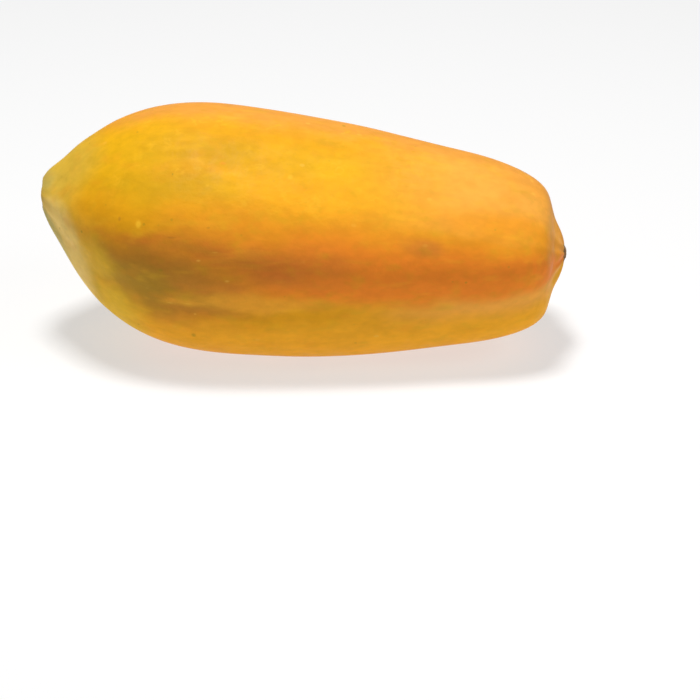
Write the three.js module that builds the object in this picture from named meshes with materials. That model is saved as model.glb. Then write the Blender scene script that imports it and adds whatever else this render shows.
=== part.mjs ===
// A ripe papaya of the large, long kind, lying on its side.
// The whole fruit grew as one piece, so it is one closed solid: a blunt neck with the scar of the
// fruit stalk at -X, the widest girth about a third of the way along, a long taper and a blunt end
// with a low point at +X. Five broad lobes run from end to end.
// Millimetres, +Z up. The origin is under the middle of the fruit, on the surface that it lies on.

import * as THREE from 'three';
import { mergeVertices } from 'three/addons/utils/BufferGeometryUtils.js';

// Overall size
const LENGTH = 279; // from the stalk scar's rim to the point
const GIRTH_RADIUS = 66; // mean radius at the widest place
const GIRTH_AT = 88; // how far that place is from the stalk end

// Neck: [distance from the stalk end, mean radius]
const NECK = [
  [0.9, 9.8],
  [4, 15],
  [11, 23.4],
  [22, 37],
  [38, 50.7],
  [60, 61.2],
];

// Long taper from the widest place to the shoulder of the far end
const TAPER = [
  [125, 65],
  [165, 61.2],
  [205, 54.4],
  [236, 48.5],
  [255, 42.2],
];

// Shoulder, end face and low point at the far end
const SHOULDER = [
  [264, 36.8],
  [268.6, 31.2],
  [270.8, 24],
  [272.4, 18.4],
  [275, 13.2],
  [277, 8.2],
];

// Dried nub where the flower sat
const NUB_BASE_RADIUS = 3.6;
const NUB_TOP_RADIUS = 2.4;
const NUB_HEIGHT = 1;

// Scar of the fruit stalk: a shallow dish with a raised core and a rounded corky rim
const SCAR_RIM_RADIUS = 7.9;
const SCAR_LIP_RADIUS = 6.8;
const SCAR_LIP_DEPTH = 0.5;
const SCAR_DISH_OUTER_RADIUS = 5.4;
const SCAR_DISH_INNER_RADIUS = 3.4;
const SCAR_DISH_DEPTH = 1.8;
const SCAR_CORE_RADIUS = 2.1;
const SCAR_CORE_DEPTH = 1;

// Lobes: height of the ridges over the mean radius, and where the first one stands
const LOBE_COUNT = 5;
const LOBE_RISE = 2;
const LOBE_FULL_RADIUS = 30; // the lobes fade away where the fruit is slimmer than this
const FIRST_LOBE_ANGLE = Math.PI / 2; // the first ridge is on top
const LOBE_UNEVENNESS = 0.18; // the lobes on one side are this much fuller than the mean
const FULL_SIDE_ANGLE = -0.6; // radians up from the front, where the lobes are fullest

// Centre line: how high it runs over the middle of the far end, [distance, height]
const CENTRE_LINE = [
  [0, 28.4],
  [14, 22],
  [32, 16.4],
  [87, 10.6],
  [170, 4.3],
  [LENGTH, 0],
];
const SIDE_BOW = 2.5; // the fruit bows this far towards +Y at its middle

// Small flat where it rests: how deep the belly is flattened
const REST_FLAT_DEPTH = 0.9;

// Fineness of the surface
const LONGEST_STEP = 7.5; // along the outline
const LEAST_STEPS = 2; // between two stations of the outline
const STEPS_AROUND = 60;
const SAME_POINT = 1e-4; // points closer than this are one

// Skin
const SKIN_COLOUR = '#e8ac33';
const SKIN_ROUGHNESS = 0.42;

// Half outline of the fruit, radius against distance from the stalk end, from axis to axis.
function outline() {
  const scar = [
    [SCAR_CORE_DEPTH, 0],
    [SCAR_CORE_DEPTH, SCAR_CORE_RADIUS],
    [SCAR_DISH_DEPTH, SCAR_DISH_INNER_RADIUS],
    [SCAR_DISH_DEPTH, SCAR_DISH_OUTER_RADIUS],
    [SCAR_LIP_DEPTH, SCAR_LIP_RADIUS],
    [0, SCAR_RIM_RADIUS],
  ];
  const nub = [
    [LENGTH - NUB_HEIGHT, NUB_BASE_RADIUS],
    [LENGTH, NUB_TOP_RADIUS],
    [LENGTH, 0],
  ];
  const stations = [...scar, ...NECK, [GIRTH_AT, GIRTH_RADIUS], ...TAPER, ...SHOULDER, ...nub];
  const points = stations.map(([distance, radius]) => new THREE.Vector2(radius, distance));
  const curve = new THREE.SplineCurve(points);
  const spans = points.length - 1;
  const profile = [];
  for (let span = 0; span < spans; span += 1) {
    const length = points[span].distanceTo(points[span + 1]);
    const steps = Math.max(Math.ceil(length / LONGEST_STEP), LEAST_STEPS);
    for (let step = 0; step < steps; step += 1) {
      profile.push(curve.getPoint((span + step / steps) / spans));
    }
  }
  profile.push(points[spans]);
  return profile;
}

// Slope of the centre line at one of its stations, from the stations on either side.
function centreSlope(station) {
  const before = CENTRE_LINE[Math.max(station - 1, 0)];
  const after = CENTRE_LINE[Math.min(station + 1, CENTRE_LINE.length - 1)];
  return (after[1] - before[1]) / (after[0] - before[0]);
}

// Height of the centre line at a distance along the fruit: a smooth cubic between two stations.
function centreHeight(distance) {
  let span = 0;
  while (span < CENTRE_LINE.length - 2 && distance > CENTRE_LINE[span + 1][0]) {
    span += 1;
  }
  const [startX, startZ] = CENTRE_LINE[span];
  const [endX, endZ] = CENTRE_LINE[span + 1];
  const width = endX - startX;
  const t = (distance - startX) / width;
  const s = 1 - t;
  return startZ * s * s * (1 + 2 * t) + endZ * t * t * (3 - 2 * t)
    + centreSlope(span) * width * t * s * s - centreSlope(span + 1) * width * t * t * s;
}

// Moves a point of the turned body out to its lobe and across to the bent centre line.
function shapePoint(point) {
  const radius = Math.hypot(point.y, point.z);
  const angle = Math.atan2(point.z, -point.y);
  const fade = Math.min(radius / LOBE_FULL_RADIUS, 1);
  const fullness = 1 + LOBE_UNEVENNESS * Math.cos(angle - FULL_SIDE_ANGLE);
  const rise = LOBE_RISE * fade * fullness * Math.cos(LOBE_COUNT * (angle - FIRST_LOBE_ANGLE));
  const lobed = radius + rise;
  const bow = SIDE_BOW * Math.sin((Math.PI * point.x) / LENGTH);
  point.y = -lobed * Math.cos(angle) + bow;
  point.z = lobed * Math.sin(angle) + centreHeight(point.x);
}

// Leaves out the triangles that shrank to nothing where the outline meets the axis.
function dropEmptyTriangles(geometry) {
  const kept = [];
  const index = geometry.index;
  for (let i = 0; i < index.count; i += 3) {
    const a = index.getX(i);
    const b = index.getX(i + 1);
    const c = index.getX(i + 2);
    if (a !== b && b !== c && c !== a) {
      kept.push(a, b, c);
    }
  }
  geometry.setIndex(kept);
}

// Sets the fruit down: the lowest skin is pressed flat at z = 0 and the origin is under its middle.
function setDown(geometry) {
  geometry.computeBoundingBox();
  const box = geometry.boundingBox;
  const middle = box.getCenter(new THREE.Vector3());
  const floor = box.min.z + REST_FLAT_DEPTH;
  const position = geometry.attributes.position;
  for (let i = 0; i < position.count; i += 1) {
    const height = Math.max(position.getZ(i) - floor, 0);
    position.setXYZ(i, position.getX(i) - middle.x, position.getY(i) - middle.y, height);
  }
}

// The whole fruit, turned from its outline and then lobed, bent and set down.
function papayaGeometry() {
  const turned = new THREE.LatheGeometry(outline(), STEPS_AROUND);
  turned.rotateZ(-Math.PI / 2);
  const position = turned.attributes.position;
  const point = new THREE.Vector3();
  for (let i = 0; i < position.count; i += 1) {
    point.fromBufferAttribute(position, i);
    shapePoint(point);
    position.setXYZ(i, point.x, point.y, point.z);
  }
  turned.deleteAttribute('normal');
  turned.deleteAttribute('uv');
  const closed = mergeVertices(turned, SAME_POINT);
  dropEmptyTriangles(closed);
  setDown(closed);
  closed.computeVertexNormals();
  return closed;
}

// Waxy ripe skin, golden yellow
function skinMaterial() {
  const material = new THREE.MeshStandardMaterial({
    color: new THREE.Color(SKIN_COLOUR),
    roughness: SKIN_ROUGHNESS,
    metalness: 0,
  });
  material.name = 'papaya_skin';
  return material;
}

const papaya = new THREE.Mesh(papayaGeometry(), skinMaterial());
papaya.name = 'papaya';

const fruit = new THREE.Group();
fruit.name = 'papaya_fruit';
fruit.add(papaya);

export default fruit;
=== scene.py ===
import math
import random

import bmesh
import bpy
import numpy as np
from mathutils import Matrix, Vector, noise


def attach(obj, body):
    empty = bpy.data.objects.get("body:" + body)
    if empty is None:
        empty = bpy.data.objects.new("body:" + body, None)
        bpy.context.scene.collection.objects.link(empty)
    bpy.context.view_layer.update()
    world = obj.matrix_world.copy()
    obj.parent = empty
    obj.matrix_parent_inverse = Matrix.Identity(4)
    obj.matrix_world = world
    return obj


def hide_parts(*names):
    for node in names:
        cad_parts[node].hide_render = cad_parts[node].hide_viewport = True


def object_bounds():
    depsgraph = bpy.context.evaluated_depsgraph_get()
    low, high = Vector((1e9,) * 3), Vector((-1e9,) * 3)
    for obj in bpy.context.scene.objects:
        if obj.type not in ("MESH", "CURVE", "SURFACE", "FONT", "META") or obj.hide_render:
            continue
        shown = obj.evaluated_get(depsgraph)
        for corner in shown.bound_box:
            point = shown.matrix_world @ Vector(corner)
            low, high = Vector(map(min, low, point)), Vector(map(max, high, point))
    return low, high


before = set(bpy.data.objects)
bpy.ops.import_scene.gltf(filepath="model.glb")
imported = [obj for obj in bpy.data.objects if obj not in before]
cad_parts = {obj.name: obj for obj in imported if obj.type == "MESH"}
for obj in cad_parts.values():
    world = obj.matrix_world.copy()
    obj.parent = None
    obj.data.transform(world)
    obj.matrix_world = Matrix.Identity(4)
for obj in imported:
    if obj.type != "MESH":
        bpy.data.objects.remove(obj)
cad_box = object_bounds()

# Camera. It stands in front of the fruit, a little towards its flower end, and looks down on it.
# A long lens keeps the outline as flat as it looks in the picture.
CAMERA_AZIMUTH = math.radians(2.97)
CAMERA_ELEVATION = math.radians(27.5)
CAMERA_DISTANCE = 1.3
CAMERA_TARGET = Vector((0.02388, 0.0, -0.00806))
CAMERA_SENSOR = 36
CAMERA_LENS = 122
NEAREST_SEEN = 0.05
FARTHEST_SEEN = 60
camera_data = bpy.data.cameras.new("camera")
camera_data.sensor_width = CAMERA_SENSOR
camera_data.lens = CAMERA_LENS
camera_data.clip_start = NEAREST_SEEN
camera_data.clip_end = FARTHEST_SEEN
camera = bpy.data.objects.new("camera", camera_data)
away = Vector((
    math.sin(CAMERA_AZIMUTH) * math.cos(CAMERA_ELEVATION),
    -math.cos(CAMERA_AZIMUTH) * math.cos(CAMERA_ELEVATION),
    math.sin(CAMERA_ELEVATION),
))
camera.location = CAMERA_TARGET + away * CAMERA_DISTANCE
camera.rotation_euler = away.to_track_quat("Z", "Y").to_euler()
bpy.context.scene.collection.objects.link(camera)
bpy.context.scene.camera = camera

# Studio. One soft box hangs almost straight over the fruit and a weak panel stands off its flower
# end. The surround is seen as pale as the far floor, but it lights the fruit only weakly.
SURROUND_SEEN = 0.6
SURROUND_LIGHT = 0.03
LIGHT_AIM = Vector((0.0, 0.0, 0.06))
SOFT_BOX_PLACE = Vector((-0.1, -0.1, 1.6))
SOFT_BOX_SIZE = 0.35
SOFT_BOX_POWER = 26.5
SIDE_PANEL_PLACE = Vector((1.1, -0.35, 0.9))
SIDE_PANEL_SIZE = 0.6
SIDE_PANEL_POWER = 4
bpy.context.scene.view_settings.view_transform = "Standard"
world = bpy.data.worlds.new("surround")
world.use_nodes = True
surround = world.node_tree.nodes["Background"]
surround.inputs["Color"].default_value = (1.0, 1.0, 1.0, 1.0)
surround_path = world.node_tree.nodes.new("ShaderNodeLightPath")
surround_strength = world.node_tree.nodes.new("ShaderNodeMath")
surround_strength.operation = "MULTIPLY_ADD"
surround_strength.inputs[1].default_value = SURROUND_SEEN - SURROUND_LIGHT
surround_strength.inputs[2].default_value = SURROUND_LIGHT
world.node_tree.links.new(surround_path.outputs["Is Camera Ray"], surround_strength.inputs[0])
world.node_tree.links.new(surround_strength.outputs["Value"], surround.inputs["Strength"])
bpy.context.scene.world = world


def hang_light(name, place, size, power):
    """A square soft light that faces the middle of the fruit."""
    light = bpy.data.lights.new(name, "AREA")
    light.shape = "SQUARE"
    light.size = size
    light.energy = power
    holder = bpy.data.objects.new(name, light)
    holder.location = place
    holder.rotation_euler = (place - LIGHT_AIM).to_track_quat("Z", "Y").to_euler()
    bpy.context.scene.collection.objects.link(holder)


hang_light("soft_box", SOFT_BOX_PLACE, SOFT_BOX_SIZE, SOFT_BOX_POWER)
hang_light("side_panel", SIDE_PANEL_PLACE, SIDE_PANEL_SIZE, SIDE_PANEL_POWER)

# Floor. A plain matt white sheet that the fruit lies on, wide enough to reach the horizon.
# It glows a little, so the shadow under the fruit stays pale.
FLOOR_REACH = 15.0
FLOOR_WHITE = 0.35
FLOOR_GLOW = 0.6
FLOOR_ROUGHNESS = 0.9
floor_mesh = bpy.data.meshes.new("floor")
floor_form = bmesh.new()
bmesh.ops.create_grid(floor_form, x_segments=1, y_segments=1, size=FLOOR_REACH)
floor_form.to_mesh(floor_mesh)
floor_form.free()
floor = bpy.data.objects.new("floor", floor_mesh)
bpy.context.scene.collection.objects.link(floor)
floor_material = bpy.data.materials.new("white_floor")
floor_material.use_nodes = True
floor_shader = floor_material.node_tree.nodes["Principled BSDF"]
floor_shader.inputs["Base Color"].default_value = (FLOOR_WHITE, FLOOR_WHITE, FLOOR_WHITE, 1.0)
floor_shader.inputs["Roughness"].default_value = FLOOR_ROUGHNESS
floor_shader.inputs["Emission Color"].default_value = (1.0, 1.0, 1.0, 1.0)
floor_shader.inputs["Emission Strength"].default_value = FLOOR_GLOW
floor_mesh.materials.append(floor_material)

# Skin of the fruit, scars and all. One closed surface grown in one piece, thin and waxy over firm
# flesh. It is the solid's own surface made finer, then pressed in a little wherever the real skin
# dips: dents, lengthwise ripples, a crease low on the front, wrinkles at both ends, crumbly cork.
MM = 0.001
SAME_POINT = 1e-6
FLATTEST_FOLD = 0.7
LEAST_SQUARE = 1.5
FINER_LEVELS = 2
fruit_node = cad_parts["papaya"]
coarse_mesh = fruit_node.data.copy()
skin_form = bmesh.new()
skin_form.from_mesh(coarse_mesh)
bmesh.ops.remove_doubles(skin_form, verts=skin_form.verts, dist=SAME_POINT)
bmesh.ops.join_triangles(
    skin_form, faces=skin_form.faces,
    angle_face_threshold=FLATTEST_FOLD, angle_shape_threshold=LEAST_SQUARE,
)
skin_form.to_mesh(coarse_mesh)
skin_form.free()
coarse_skin = bpy.data.objects.new("coarse_skin", coarse_mesh)
bpy.context.scene.collection.objects.link(coarse_skin)
finer = coarse_skin.modifiers.new("finer", "SUBSURF")
finer.levels = FINER_LEVELS
finer.render_levels = FINER_LEVELS
skin_mesh = bpy.data.meshes.new_from_object(
    coarse_skin.evaluated_get(bpy.context.evaluated_depsgraph_get())
)
bpy.data.objects.remove(coarse_skin)
bpy.data.meshes.remove(coarse_mesh)
skin_mesh.name = "fruit_skin"
skin_mesh.materials.clear()
skin = bpy.data.objects.new("fruit_skin", skin_mesh)
bpy.context.scene.collection.objects.link(skin)

# Where each point of the skin lies: millimetres along from the stalk end, degrees round from the
# front (90 is on top, -90 underneath) and millimetres out from the fruit's own bent middle line.
stalk_end = cad_box[0][0]
slices = {}
for vertex in fruit_node.data.vertices:
    slices.setdefault(round(vertex.co.x, 5), []).append(vertex.co)
slice_places = sorted(slices)
slice_y = [sum(co.y for co in slices[x]) / len(slices[x]) for x in slice_places]
slice_z = [sum(co.z for co in slices[x]) / len(slices[x]) for x in slice_places]
points = np.empty(len(skin_mesh.vertices) * 3)
skin_mesh.vertices.foreach_get("co", points)
points = points.reshape(-1, 3)
outward = np.array([vertex.normal[:] for vertex in skin_mesh.vertices])
from_front = np.interp(points[:, 0], slice_places, slice_y) - points[:, 1]
from_middle = points[:, 2] - np.interp(points[:, 0], slice_places, slice_z)
along = (points[:, 0] - stalk_end) / MM
turn = np.degrees(np.arctan2(from_middle, from_front))
radius = np.hypot(from_front, from_middle) / MM
height = points[:, 2] / MM


def ramp(value, low, high):
    """Soft step from 0 at low to 1 at high."""
    part = np.clip((value - low) / (high - low), 0.0, 1.0)
    return part * part * (3.0 - 2.0 * part)


def band(value, start, full, fall, end):
    """Soft plateau: 0 at start, 1 from full to fall, 0 at end."""
    return ramp(value, start, full) * (1.0 - ramp(value, fall, end))


def turned_from(angle, other):
    """Degrees from one direction round the fruit to another, -180 to 180."""
    return (angle - other + 180.0) % 360.0 - 180.0


def cloud(spots, pitch, shift):
    """Smooth random swell, about -1 to 1, with humps a pitch apart in millimetres."""
    return np.array([noise.noise(Vector(spot)) for spot in spots / np.array(pitch) + shift])


# Relief of the skin. Depths, pitches and places along are in millimetres, turns in degrees.
DENT_PITCH = 34.0
DENT_DEPTH = 0.55
RIPPLE_PITCH = (46.0, 9.0, 9.0)
RIPPLE_DEPTH = 0.22
CREASE_TURN = -20.0
CREASE_HALF_WIDTH = 4.2
CREASE_WANDER = 0.8
CREASE_WANDER_PITCH = 26.0
CREASE_DEPTH = 0.2
NECK_WRINKLES = 15
NECK_WRINKLE_DEPTH = 0.12
PUCKERS = 10
PUCKER_DEPTH = 0.7
SCAR_FURROWS = 21
SCAR_FURROW_DEPTH = 0.3
CORK_PITCH = 1.3
CORK_DEPTH = 0.45
CLEAR_OF_FLOOR = 2.5
spots = points / MM
around = np.radians(turn)

# Swells that close on themselves round the fruit keep the wrinkles uneven but unbroken at the back.
circle = np.stack([np.cos(around), np.sin(around), np.full(len(around), 0.4)], axis=1)
uneven = cloud(circle, 0.6, 0.0)

# The crease wanders a little to either side as it runs along.
length_line = np.stack([along, 0.0 * along, 0.0 * along], axis=1)
wander = CREASE_WANDER * cloud(length_line, CREASE_WANDER_PITCH, 4.0)

# Share of each dip at each point, 0 to 1.
body = ramp(radius, 12.0, 34.0)
dents = body * (0.5 + 0.5 * cloud(spots, DENT_PITCH, 0.0))
ripples = body * (0.5 + 0.5 * cloud(spots, RIPPLE_PITCH, 3.0))
off_crease = turned_from(turn, CREASE_TURN + wander) / CREASE_HALF_WIDTH
crease = band(along, 56.0, 92.0, 100.0, 150.0) * np.exp(-off_crease ** 2)
neck_belt = band(radius, 7.0, 11.0, 15.0, 31.0) * (1.0 - ramp(along, 12.0, 30.0))
neck_wrinkles = neck_belt * (0.5 + 0.5 * np.sin(NECK_WRINKLES * around + 4.0 * uneven))
tip_belt = band(radius, 3.0, 7.0, 14.0, 30.0) * ramp(along, 262.0, 270.0)
puckers = tip_belt * (0.5 + 0.5 * np.cos(PUCKERS * around + 2.0 * uneven))
stalk_scar = (1.0 - ramp(radius, 7.4, 9.6)) * (1.0 - ramp(along, 3.0, 6.0))
flower_scar = (1.0 - ramp(radius, 3.6, 6.4)) * ramp(along, 271.0, 275.0)
cork = np.maximum(stalk_scar, 0.6 * flower_scar)
crumbs = cork * (0.5 + 0.5 * cloud(spots, CORK_PITCH, 9.0))
furrow_belt = cork * band(radius, 1.6, 3.0, 6.4, 8.4)
furrows = furrow_belt * (0.5 + 0.5 * np.sin(SCAR_FURROWS * around + 9.0 * uneven))
dip = (
    DENT_DEPTH * dents
    + RIPPLE_DEPTH * ripples
    + CREASE_DEPTH * crease
    + NECK_WRINKLE_DEPTH * neck_wrinkles
    + PUCKER_DEPTH * puckers
    + CORK_DEPTH * crumbs
    + SCAR_FURROW_DEPTH * furrows
) * ramp(height, 0.2, CLEAR_OF_FLOOR)
skin_mesh.vertices.foreach_set("co", (points - outward * dip[:, None] * MM).ravel())
for face in skin_mesh.polygons:
    face.use_smooth = True

# Colours of the skin, laid on the ground colour in this order. It is ripe yellow with an orange
# cheek and olive at the neck. Brown, rust and olive low on the front are partly painted shade below
# the lit ridge, and the deep orange there is partly painted bounce light. The pale band low on the
# neck is a painted reflection, and the peach and blush carry a painted pale sheen. A mask in the
# mesh says where each colour is. A row of an oval patch is its place along and its turn, its half
# length and half turn, its strength and its slant.
GROUND_COLOUR = (0.79, 0.36, 0.010)
SKIN_COLOURS = {
    # Peach: the flower end's own orange, paled by a painted sheen in its blue.
    "peach_and_sheen": (0.93, 0.41, 0.060),
    "yellow": (0.81, 0.43, 0.010),
    "bright": (0.94, 0.42, 0.014),
    "ochre": (0.64, 0.34, 0.008),
    # Blush: the orange along the top, with a painted pale sheen of reflected light in its blue.
    "blush_and_sheen": (0.80, 0.34, 0.055),
    "ridge": (0.82, 0.31, 0.018),
    "gold": (0.94, 0.43, 0.022),
    # Deep orange: low on the front partly painted bounce light, round the back the skin's own tone.
    "deep_and_bounce": (0.93, 0.26, 0.024),
    # Umber, rust and olive: partly painted shade low on the front, below the lit ridge.
    "umber_and_shade": (0.68, 0.215, 0.030),
    "rust_and_shade": (0.70, 0.17, 0.024),
    "olive_and_shade": (0.46, 0.245, 0.022),
    "khaki": (0.86, 0.51, 0.032),
    "neck": (0.75, 0.465, 0.046),
    # Pale: a painted reflection of the white surroundings, low on the neck.
    "pale_reflection": (0.97, 0.66, 0.170),
    "grey": (0.46, 0.435, 0.150),
    "belly": (0.80, 0.29, 0.026),
    "stripe": (0.90, 0.40, 0.034),
    # Line: dark lines, painted shade in the crease and below the front ridge.
    "line_and_shade": (0.56, 0.23, 0.024),
    "cork": (0.30, 0.19, 0.095),
    "pith": (0.075, 0.038, 0.028),
}
YELLOW_PATCHES = [
    (42, 60, 38, 24, 1.0, 0), (142, 57, 40, 14, 0.75, 0), (105, 46, 26, 8, 0.7, 0),
    (70, 152, 40, 16, 0.8, 0), (150, 128, 44, 14, 0.7, 0.05), (205, 168, 26, 9, 0.6, 0),
]
BRIGHT_PATCHES = [
    (152, 42, 48, 11, 0.8, 0), (118, 50, 22, 8, 0.5, 0), (24, 13, 9, 12, 0.9, 0),
    (120, 168, 40, 8, 0.6, 0),
]
OCHRE_PATCHES = [
    (92, 62, 40, 11, 0.6, -0.15), (70, 43, 34, 11, 0.9, 0), (62, 74, 20, 8, 0.3, 0),
    (98, 148, 30, 9, 0.7, 0.1), (176, 150, 24, 8, 0.5, 0), (208, 27, 16, 6, 0.6, 0),
]
# Umber, rust and olive patches near turn 0 are partly painted shade below the lit ridge; those
# round the back are the skin's own duller tone.
UMBER_AND_SHADE_PATCHES = [
    (71, -6, 43, 22, 1.0, 0), (100, 6, 30, 12, 0.7, 0), (124, 8, 40, 9, 0.8, 0),
    (203, 22, 10, 5, 0.8, 0), (84, -174, 46, 13, 0.6, 0), (130, -166, 34, 9, 0.5, 0),
]
RUST_AND_SHADE_PATCHES = [
    (58, 15, 20, 3.0, 0.4, 0.04), (97, 12, 24, 4.0, 0.35, 0), (125, 8, 26, 5.0, 0.5, 0),
    (110, 178, 30, 5.0, 0.4, 0),
]
OLIVE_AND_SHADE_PATCHES = [
    (56, -10, 28, 18, 1.0, 0), (82, -14, 24, 7, 0.8, 0), (74, -2, 24, 10, 0.6, 0),
    (60, -168, 26, 15, 0.8, 0), (96, -160, 22, 8, 0.4, 0),
]
KHAKI_PATCHES = [(33, -8, 11, 22, 0.8, 0), (34, -172, 12, 20, 0.7, 0)]
STRIPE_PATCHES = [
    (120, -13, 34, 5.5, 0.8, 0), (80, -16, 16, 2, 0.6, 0), (140, -150, 44, 5, 0.6, 0),
    (178, 142, 30, 4, 0.5, 0),
]
# The two dark lines at turn -20 are painted shade in the crease; the two just below the front ridge
# are painted shade where the lit face turns away.
LINE_AND_SHADE_PATCHES = [
    (84, -20, 20, 2.0, 0.6, 0), (103, -20.5, 18, 3.0, 0.4, 0),
    (89, 12.5, 13, 1.8, 0.6, -0.04), (113, 8, 13, 2.2, 0.4, 0),
]
CHEEK_PATCHES = [(252, 34, 50, 17, 0.9, 0)]

# Place along and turn, both bent a little by noise, so that no zone has a straight edge.
bent_along = along + 5.0 * cloud(spots, 30.0, 11.0) + 2.5 * cloud(spots, 11.0, 5.0)
bent_turn = turned_from(turn + 3.0 * cloud(spots, 24.0, 7.0) + 1.8 * cloud(spots, 9.0, 2.0), 0.0)


def patches(rows):
    """Soft oval patches at places on the fruit, the strongest one counting."""
    total = np.zeros(len(along))
    for centre, side, half_length, half_turn, strength, slant in rows:
        off = turned_from(bent_turn, side + slant * (bent_along - centre))
        reach = ((bent_along - centre) / half_length) ** 2 + (off / half_turn) ** 2
        total = np.maximum(total, strength * np.exp(-reach ** 1.5))
    return total


# Zones that run along a lobe, cover the top or the belly, or ring the neck and the stalk scar.
# The mask "lit" isn't a colour: it is the upper front, where the fine markings show best.
bent_back = turned_from(180.0 - bent_turn, 0.0)
from_top = np.abs(turned_from(bent_turn, 112.0))
from_belly = np.abs(turned_from(bent_turn, -90.0))
ridge_front = band(bent_turn, 0.0, 14.0, 25.0, 42.0) * ramp(bent_along, 50.0, 110.0)
ridge_back = band(bent_back, -6.0, 10.0, 24.0, 44.0) * ramp(bent_along, 70.0, 130.0)
# The deep orange low on the front is partly painted bounce light.
deep_and_bounce_front = band(bent_turn, -18.0, -4.0, 12.0, 30.0) * ramp(bent_along, 80.0, 150.0)
deep_back = band(bent_back, -24.0, -6.0, 6.0, 26.0) * ramp(bent_along, 110.0, 190.0)
khaki_belly = (1.0 - ramp(from_belly, 62.0, 78.0)) * band(bent_along, 20.0, 32.0, 40.0, 64.0)
# The pale band is a painted reflection; it narrows as it runs away from the stalk.
pale_reflection_draw = np.clip(1.4 * (bent_along - 11.0), 0.0, 24.0)
neck_edge = 29.0 - 8.0 * band(bent_turn, -6.0, 10.0, 40.0, 64.0)
collar_gap = band(turned_from(bent_turn, 8.0), -38.0, -18.0, 10.0, 40.0)
collar_shade = band(turned_from(bent_turn, -48.0), -80.0, -15.0, 4.0, 30.0)
collar = 1.0 - ramp(bent_along, 3.0, 15.0 + 6.0 * collar_shade)
skin_masks = {
    # Peach: own orange of the flower end with a painted pale sheen.
    "peach_and_sheen": ramp(bent_along, 150.0, 240.0),
    "yellow": patches(YELLOW_PATCHES),
    "bright": patches(BRIGHT_PATCHES),
    "ochre": patches(OCHRE_PATCHES),
    # Blush: orange along the top with a painted pale sheen.
    "blush_and_sheen": (1.0 - ramp(from_top, 21.0, 40.0)) * ramp(bent_along, 25.0, 60.0),
    "ridge": np.maximum(np.maximum(ridge_front, 0.8 * ridge_back), patches(CHEEK_PATCHES)),
    "gold": (1.0 - ramp(from_belly, 54.0, 72.0)) * ramp(bent_along, 30.0, 60.0),
    # Deep orange: partly painted bounce light on the front.
    "deep_and_bounce": np.maximum(deep_and_bounce_front, 0.7 * deep_back),
    # Umber, rust and olive: partly painted shade low on the front, below the lit ridge.
    "umber_and_shade": patches(UMBER_AND_SHADE_PATCHES),
    "rust_and_shade": patches(RUST_AND_SHADE_PATCHES),
    "olive_and_shade": patches(OLIVE_AND_SHADE_PATCHES),
    "khaki": np.maximum(khaki_belly, patches(KHAKI_PATCHES)),
    "neck": 1.0 - ramp(bent_along - neck_edge, -12.0, 12.0),
    # Painted reflection along the lower front of the neck.
    "pale_reflection": (1.0 - ramp(np.abs(turned_from(bent_turn, -45.0)) + pale_reflection_draw, 56.0, 84.0))
    * band(bent_along, 2.0, 8.0, 19.0, 34.0),
    "grey": collar * (0.6 * (1.0 - collar_gap) + 0.1 * collar_shade),
    "belly": 0.7 * (1.0 - ramp(from_belly, 22.0, 38.0)) * ramp(bent_along, 36.0, 70.0),
    "stripe": patches(STRIPE_PATCHES),
    # Dark lines: painted shade in the crease and below the front ridge.
    "line_and_shade": patches(LINE_AND_SHADE_PATCHES),
    "cork": np.maximum(stalk_scar, flower_scar),
    "pith": (1.0 - ramp(radius, 5.6, 6.8)) * (1.0 - ramp(along, 3.0, 6.0)),
    "lit": band(bent_turn, 24.0, 40.0, 86.0, 96.0) * band(along, 24.0, 50.0, 190.0, 230.0),
}
for mask_name, mask in skin_masks.items():
    skin_mesh.attributes.new("skin_" + mask_name, "FLOAT", "POINT").data.foreach_set("value", mask)

skin_material = bpy.data.materials.new("papaya_skin_look")
skin_material.use_nodes = True
skin_tree = skin_material.node_tree
skin_shader = skin_tree.nodes["Principled BSDF"]
position = skin_tree.nodes.new("ShaderNodeTexCoord").outputs["Object"]


def stretched(stretch, shift):
    """The place on the fruit, stretched and shifted, for a pattern to read."""
    node = skin_tree.nodes.new("ShaderNodeMapping")
    node.inputs["Scale"].default_value = stretch
    node.inputs["Location"].default_value = shift
    skin_tree.links.new(position, node.inputs["Vector"])
    return node.outputs["Vector"]


def mottle(scale, detail, stretch=(1.0, 1.0, 1.0), shift=(0.0, 0.0, 0.0)):
    """Cloudy pattern in the fruit's own space, about 0.5 on average."""
    node = skin_tree.nodes.new("ShaderNodeTexNoise")
    node.inputs["Scale"].default_value = scale
    node.inputs["Detail"].default_value = detail
    skin_tree.links.new(stretched(stretch, shift), node.inputs["Vector"])
    return node.outputs["Fac"]


def soften(value, low, high, to_low=0.0, to_high=1.0):
    """Maps a value smoothly from low..high to to_low..to_high."""
    node = skin_tree.nodes.new("ShaderNodeMapRange")
    node.interpolation_type = "SMOOTHSTEP"
    node.inputs["From Min"].default_value = low
    node.inputs["From Max"].default_value = high
    node.inputs["To Min"].default_value = to_low
    node.inputs["To Max"].default_value = to_high
    skin_tree.links.new(value, node.inputs["Value"])
    return node.outputs["Result"]


def reckon(operation, first, second, clamp=False):
    """One sum on two values, either of which may be a plain number."""
    node = skin_tree.nodes.new("ShaderNodeMath")
    node.operation = operation
    node.use_clamp = clamp
    for socket, value in zip(node.inputs, (first, second)):
        if isinstance(value, (int, float)):
            socket.default_value = value
        else:
            skin_tree.links.new(value, socket)
    return node.outputs["Value"]


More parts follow.
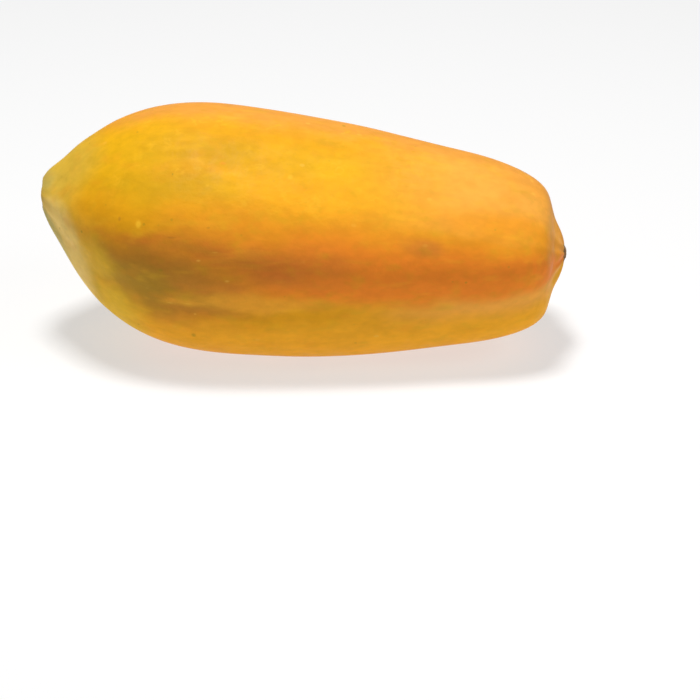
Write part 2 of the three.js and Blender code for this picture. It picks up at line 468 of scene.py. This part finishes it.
def blend_colour(under, over, mask):
    """Lays one colour over another by a mask."""
    node = skin_tree.nodes.new("ShaderNodeMix")
    node.data_type = "RGBA"
    for name, value in (("A_Color", under), ("B_Color", over)):
        socket = next(s for s in node.inputs if s.identifier == name)
        if isinstance(value, tuple):
            socket.default_value = (*value, 1.0)
        else:
            skin_tree.links.new(value, socket)
    factor = next(s for s in node.inputs if s.identifier == "Factor_Float")
    skin_tree.links.new(mask, factor)
    return next(s for s in node.outputs if s.identifier == "Result_Color")


def mask_of(name, pattern, reach):
    """The mask of a colour, read from the mesh, its soft edge broken up by a pattern."""
    node = skin_tree.nodes.new("ShaderNodeAttribute")
    node.attribute_name = "skin_" + name
    mask = node.outputs["Fac"]
    edge = reckon("MULTIPLY", mask, reckon("SUBTRACT", 1.0, mask))
    shift = reckon("MULTIPLY", reckon("SUBTRACT", pattern, 0.5), reach)
    return reckon("ADD", mask, reckon("MULTIPLY", edge, shift), clamp=True)


def dots(scale, size, share, stretch=(1.0, 1.0, 1.0), shift=(0.0, 0.0, 0.0)):
    """Soft round dots: how many to a metre, their radius in millimetres, the share that shows."""
    node = skin_tree.nodes.new("ShaderNodeTexVoronoi")
    node.inputs["Scale"].default_value = scale
    skin_tree.links.new(stretched(stretch, shift), node.inputs["Vector"])
    edge = size * MM * scale
    round_dots = soften(node.outputs["Distance"], 0.45 * edge, edge, 1.0, 0.0)
    parts = skin_tree.nodes.new("ShaderNodeSeparateColor")
    skin_tree.links.new(node.outputs["Color"], parts.inputs["Color"])
    shown = reckon("LESS_THAN", parts.outputs["Red"], share)
    return reckon("MULTIPLY", round_dots, reckon("MULTIPLY", shown, parts.outputs["Green"]))


def place_on_skin(at_along, at_turn):
    """The point of the skin nearest a distance along and a direction round the fruit."""
    off_side = np.radians(turned_from(turn, at_turn)) * radius
    return Vector(points[int(np.argmin((along - at_along) ** 2 + off_side ** 2))])


def mark(at_along, at_turn, half_length, half_width):
    """One small soft mark at a place on the fruit; its half sizes are in millimetres."""
    offset = skin_tree.nodes.new("ShaderNodeVectorMath")
    offset.operation = "SUBTRACT"
    skin_tree.links.new(position, offset.inputs[0])
    offset.inputs[1].default_value = place_on_skin(at_along, at_turn)
    fitted = skin_tree.nodes.new("ShaderNodeVectorMath")
    fitted.operation = "DIVIDE"
    skin_tree.links.new(offset.outputs["Vector"], fitted.inputs[0])
    fitted.inputs[1].default_value = (half_length * MM, half_width * MM, half_width * MM)
    reach = skin_tree.nodes.new("ShaderNodeVectorMath")
    reach.operation = "LENGTH"
    skin_tree.links.new(fitted.outputs["Vector"], reach.inputs[0])
    return soften(reach.outputs["Value"], 0.35, 1.2, 1.0, 0.0)


RAGGED_EDGE = 4.0
broad_mottle = mottle(60.0, 4.0, (0.6, 1.0, 1.0))
lit_mask = mask_of("lit", broad_mottle, 0.0)
cork_mask = mask_of("cork", broad_mottle, 0.0)
colour = GROUND_COLOUR
for mask_name, skin_colour in SKIN_COLOURS.items():
    colour = blend_colour(colour, skin_colour, mask_of(mask_name, broad_mottle, RAGGED_EDGE))

# Fine markings of the skin: warm and cool clouds, a dull grain, short light curls, lengthwise
# streaks, scattered pores and flecks, and the single marks that can be made out on the front.
# A row of a mark is its place along and its turn, its half length and half width, its strength
# and its colour.
WARM_CLOUD = (0.84, 0.29, 0.020)
COOL_CLOUD = (0.62, 0.39, 0.016)
DULL_GRAIN = (0.62, 0.33, 0.009)
LIGHT_CURL = (0.95, 0.52, 0.030)
PALE_PORE = (0.95, 0.56, 0.080)
GREEN_FLECK = (0.38, 0.25, 0.020)
BROWN_FLECK = (0.40, 0.15, 0.020)
MARKS = [
    (58, 22.0, 1.8, 2.4, 0.8, LIGHT_CURL), (90, 8.6, 1.5, 0.8, 0.6, PALE_PORE),
    (98, 14, 2.6, 0.6, 0.6, PALE_PORE), (104, -0.6, 1.5, 0.9, 0.5, PALE_PORE),
    (86, -22, 1.1, 1.0, 0.5, PALE_PORE), (135, 53, 1.6, 1.7, 0.5, LIGHT_CURL),
    (72, -17.6, 4.0, 0.5, 0.4, PALE_PORE), (80, -17.2, 5.0, 0.5, 0.4, PALE_PORE),
    (75.7, 47.4, 0.6, 0.8, 0.8, GREEN_FLECK),
    (95, 24, 1.5, 0.8, 0.6, BROWN_FLECK), (100, 55, 2.2, 1.2, 0.5, WARM_CLOUD),
    (93, 44, 1.2, 1.2, 0.35, LIGHT_CURL), (160, 93, 1.4, 1.8, 0.6, GREEN_FLECK),
    (75, 18, 4.0, 0.8, 0.5, BROWN_FLECK), (49, 24, 1.0, 1.4, 0.4, BROWN_FLECK),
    (85, -37, 1.4, 1.8, 0.5, GREEN_FLECK), (69, 2, 1.4, 1.2, 0.5, GREEN_FLECK),
]
warm = soften(mottle(95.0, 3.0, (0.6, 1.0, 1.0), (0.2, 0.5, 0.1)), 0.50, 0.76, 0.0, 0.22)
colour = blend_colour(colour, WARM_CLOUD, warm)
cool = soften(mottle(110.0, 3.0, (0.7, 1.0, 1.0), (0.7, 0.2, 0.4)), 0.52, 0.76, 0.0, 0.24)
colour = blend_colour(colour, COOL_CLOUD, cool)
grain = soften(mottle(300.0, 3.0, (0.8, 1.0, 1.0), (0.3, 0.8, 0.2)), 0.46, 0.72, 0.0, 0.30)
grain_clusters = soften(mottle(38.0, 2.0, shift=(0.8, 0.1, 0.5)), 0.42, 0.60, 0.25, 1.0)
grain = reckon("MULTIPLY", grain, grain_clusters)
grain = reckon("MULTIPLY", grain, soften(lit_mask, 0.0, 1.0, 0.35, 1.0))
colour = blend_colour(colour, DULL_GRAIN, grain)
curl_path = mottle(170.0, 2.0, (0.8, 1.0, 1.0), (0.4, 0.9, 0.3))
curl_path = reckon("ABSOLUTE", reckon("SUBTRACT", curl_path, 0.5), 0.0)
curl_shown = soften(mottle(85.0, 2.0, shift=(0.1, 0.3, 0.8)), 0.52, 0.68, 0.0, 0.26)
curls = reckon("MULTIPLY", soften(curl_path, 0.0, 0.07, 1.0, 0.0), curl_shown)
colour = blend_colour(colour, LIGHT_CURL, reckon("MULTIPLY", curls, lit_mask))
streaks = soften(mottle(190.0, 2.0, (0.12, 1.0, 1.0), (0.9, 0.1, 0.6)), 0.56, 0.74, 0.0, 0.16)
colour = blend_colour(colour, LIGHT_CURL, streaks)
pores = reckon("MULTIPLY", dots(110.0, 1.3, 0.35, (0.7, 1.0, 1.0)), 0.5)
colour = blend_colour(colour, PALE_PORE, pores)
flecks = reckon("MULTIPLY", dots(140.0, 1.0, 0.25, shift=(0.3, 0.2, 0.1)), 0.5)
colour = blend_colour(colour, GREEN_FLECK, flecks)
for at_along, at_turn, half_length, half_width, strength, mark_colour in MARKS:
    seen = reckon("MULTIPLY", mark(at_along, at_turn, half_length, half_width), strength)
    colour = blend_colour(colour, mark_colour, seen)

# Slight lighter and darker clouds over all of it, as a factor round 1.
broad_shade = soften(mottle(75.0, 2.0, (0.5, 1.0, 1.0), (0.5, 0.7, 0.3)), 0.3, 0.7, -0.035, 0.035)
fine_shade = soften(mottle(230.0, 4.0, (0.6, 1.0, 1.0), (0.1, 0.6, 0.9)), 0.3, 0.7, 0.955, 1.045)
toned = skin_tree.nodes.new("ShaderNodeVectorMath")
toned.operation = "SCALE"
skin_tree.links.new(colour, toned.inputs[0])
skin_tree.links.new(reckon("ADD", broad_shade, fine_shade), toned.inputs["Scale"])
colour = toned.outputs["Vector"]

# Grain of dry woody tissue, fine and crumbly. The cork and the stalk's strands are both made of it.
DRY_GRAIN_SCALE = 900.0
DRY_GRAIN_DETAIL = 3.0
dry_grain = bpy.data.node_groups.new("dry_grain", "ShaderNodeTree")
dry_grain.interface.new_socket("Place", in_out="INPUT", socket_type="NodeSocketVector")
dry_grain.interface.new_socket("Grain", in_out="OUTPUT", socket_type="NodeSocketFloat")
grain_input = dry_grain.nodes.new("NodeGroupInput")
grain_output = dry_grain.nodes.new("NodeGroupOutput")
grain_noise = dry_grain.nodes.new("ShaderNodeTexNoise")
grain_noise.inputs["Scale"].default_value = DRY_GRAIN_SCALE
grain_noise.inputs["Detail"].default_value = DRY_GRAIN_DETAIL
dry_grain.links.new(grain_input.outputs["Place"], grain_noise.inputs["Vector"])
dry_grain.links.new(grain_noise.outputs["Fac"], grain_output.inputs["Grain"])

# Dark and bleached crumbs of the dry cork in both scars.
DARK_CORK = (0.12, 0.06, 0.03)
BLEACHED_CORK = (0.50, 0.42, 0.28)
cork_texture = skin_tree.nodes.new("ShaderNodeGroup")
cork_texture.node_tree = dry_grain
cork_place = stretched((1.0, 1.0, 1.0), (0.6, 0.4, 0.2))
skin_tree.links.new(cork_place, cork_texture.inputs["Place"])
cork_grain = cork_texture.outputs["Grain"]
dark_crumbs = reckon("MULTIPLY", cork_mask, soften(cork_grain, 0.50, 0.70))
colour = blend_colour(colour, DARK_CORK, dark_crumbs)
bleached_crumbs = reckon("MULTIPLY", cork_mask, soften(cork_grain, 0.46, 0.30))
colour = blend_colour(colour, BLEACHED_CORK, bleached_crumbs)
skin_tree.links.new(colour, skin_shader.inputs["Base Color"])

# Surface of the skin: waxy with dull patches, fine pores, and rough cork at both ends.
WAXY_ROUGHNESS = 0.42
DULL_ROUGHNESS = 0.56
CORK_ROUGHER_BY = 0.4
SKIN_SHINE = 0.05
BROAD_PORES = 1.5
CORK_CRUMBS = 4.0
PORE_BUMP = 0.5
PORE_DEPTH = 0.2 * MM
wax = mottle(140.0, 3.0, shift=(0.5, 0.5, 0.9))
roughness = soften(wax, 0.3, 0.7, WAXY_ROUGHNESS, DULL_ROUGHNESS)
roughness = reckon("ADD", roughness, reckon("MULTIPLY", cork_mask, CORK_ROUGHER_BY), clamp=True)
skin_tree.links.new(roughness, skin_shader.inputs["Roughness"])
pore_height = reckon("ADD", mottle(700.0, 2.0), reckon("MULTIPLY", mottle(260.0, 3.0), BROAD_PORES))
crumb_height = reckon("MULTIPLY", reckon("MULTIPLY", cork_mask, cork_grain), CORK_CRUMBS)
pore_height = reckon("ADD", pore_height, crumb_height)
pore_bump = skin_tree.nodes.new("ShaderNodeBump")
pore_bump.inputs["Strength"].default_value = PORE_BUMP
pore_bump.inputs["Distance"].default_value = PORE_DEPTH
skin_tree.links.new(pore_height, pore_bump.inputs["Height"])
skin_tree.links.new(pore_bump.outputs["Normal"], skin_shader.inputs["Normal"])
skin_shader.inputs["Specular IOR Level"].default_value = SKIN_SHINE
skin_mesh.materials.append(skin_material)
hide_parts("papaya")
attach(skin, "root")

# Stub of the fruit stalk. Short dry strands stand up out of the dished scar where the stalk tore
# off: brittle woody fibre, part of the fruit itself, dark with bleached bits. They are rooted a
# little below the scar's raised core and the dish round it. Sizes here are in millimetres.
STRANDS = 110
STRAND_SIDES = 7
STRAND_ROOM = 5.9
STRAND_LEAN = 0.35
STRAND_ROOTED = 0.25
SHORTEST_STRAND = 0.45
LONGEST_STRAND = 0.9
THINNEST_STRAND = 0.10
THICKEST_STRAND = 0.26
STRAND_TIP = 0.45
CORE_REACH = 2.4
CORE_DEPTH = 1.0
DISH_DEPTH = 1.75
strand_dice = random.Random(5)
strand_form = bmesh.new()
for _ in range(STRANDS):
    out = STRAND_ROOM * math.sqrt(strand_dice.random())
    way = strand_dice.uniform(0.0, 2.0 * math.pi)
    floor_depth = CORE_DEPTH if out < CORE_REACH else DISH_DEPTH
    length = strand_dice.uniform(SHORTEST_STRAND, LONGEST_STRAND) * floor_depth
    lean = Vector((
        -1.0,
        strand_dice.uniform(-STRAND_LEAN, STRAND_LEAN),
        strand_dice.uniform(-STRAND_LEAN, STRAND_LEAN),
    )).normalized()
    root = Vector((
        stalk_end + (floor_depth + STRAND_ROOTED) * MM,
        slice_y[0] + out * math.cos(way) * MM,
        slice_z[0] + out * math.sin(way) * MM,
    ))
    thickness = strand_dice.uniform(THINNEST_STRAND, THICKEST_STRAND)
    whole_length = (length + STRAND_ROOTED) * MM
    turned = lean.to_track_quat("Z", "Y").to_matrix().to_4x4()
    turned.translation = root + lean * 0.5 * whole_length
    bmesh.ops.create_cone(
        strand_form, cap_ends=True, segments=STRAND_SIDES, radius1=thickness * MM,
        radius2=STRAND_TIP * thickness * MM, depth=whole_length, matrix=turned,
    )
strand_mesh = bpy.data.meshes.new("stalk_strands")
strand_form.to_mesh(strand_mesh)
strand_form.free()
strands = bpy.data.objects.new("stalk_strands", strand_mesh)
bpy.context.scene.collection.objects.link(strands)
DARK_STRAND = (0.10, 0.055, 0.035, 1.0)
BROWN_STRAND = (0.30, 0.22, 0.12, 1.0)
BLEACHED_STRAND = (0.56, 0.49, 0.37, 1.0)
STRAND_ROUGHNESS = 0.85
STRAND_BUMP = 0.5
STRAND_BUMP_DEPTH = 0.1 * MM
strand_material = bpy.data.materials.new("dry_strand_look")
strand_material.use_nodes = True
strand_tree = strand_material.node_tree
strand_shader = strand_tree.nodes["Principled BSDF"]
strand_place = strand_tree.nodes.new("ShaderNodeTexCoord").outputs["Object"]
strand_texture = strand_tree.nodes.new("ShaderNodeGroup")
strand_texture.node_tree = dry_grain
strand_tree.links.new(strand_place, strand_texture.inputs["Place"])
strand_grain = strand_texture.outputs["Grain"]
strand_ramp = strand_tree.nodes.new("ShaderNodeValToRGB")
strand_ramp.color_ramp.elements[0].position = 0.36
strand_ramp.color_ramp.elements[0].color = DARK_STRAND
strand_ramp.color_ramp.elements[1].position = 0.62
strand_ramp.color_ramp.elements[1].color = BLEACHED_STRAND
middle_tone = strand_ramp.color_ramp.elements.new(0.5)
middle_tone.color = BROWN_STRAND
strand_tree.links.new(strand_grain, strand_ramp.inputs["Fac"])
strand_tree.links.new(strand_ramp.outputs["Color"], strand_shader.inputs["Base Color"])
strand_bump = strand_tree.nodes.new("ShaderNodeBump")
strand_bump.inputs["Strength"].default_value = STRAND_BUMP
strand_bump.inputs["Distance"].default_value = STRAND_BUMP_DEPTH
strand_tree.links.new(strand_grain, strand_bump.inputs["Height"])
strand_tree.links.new(strand_bump.outputs["Normal"], strand_shader.inputs["Normal"])
strand_shader.inputs["Roughness"].default_value = STRAND_ROUGHNESS
strand_mesh.materials.append(strand_material)
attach(strands, "root")
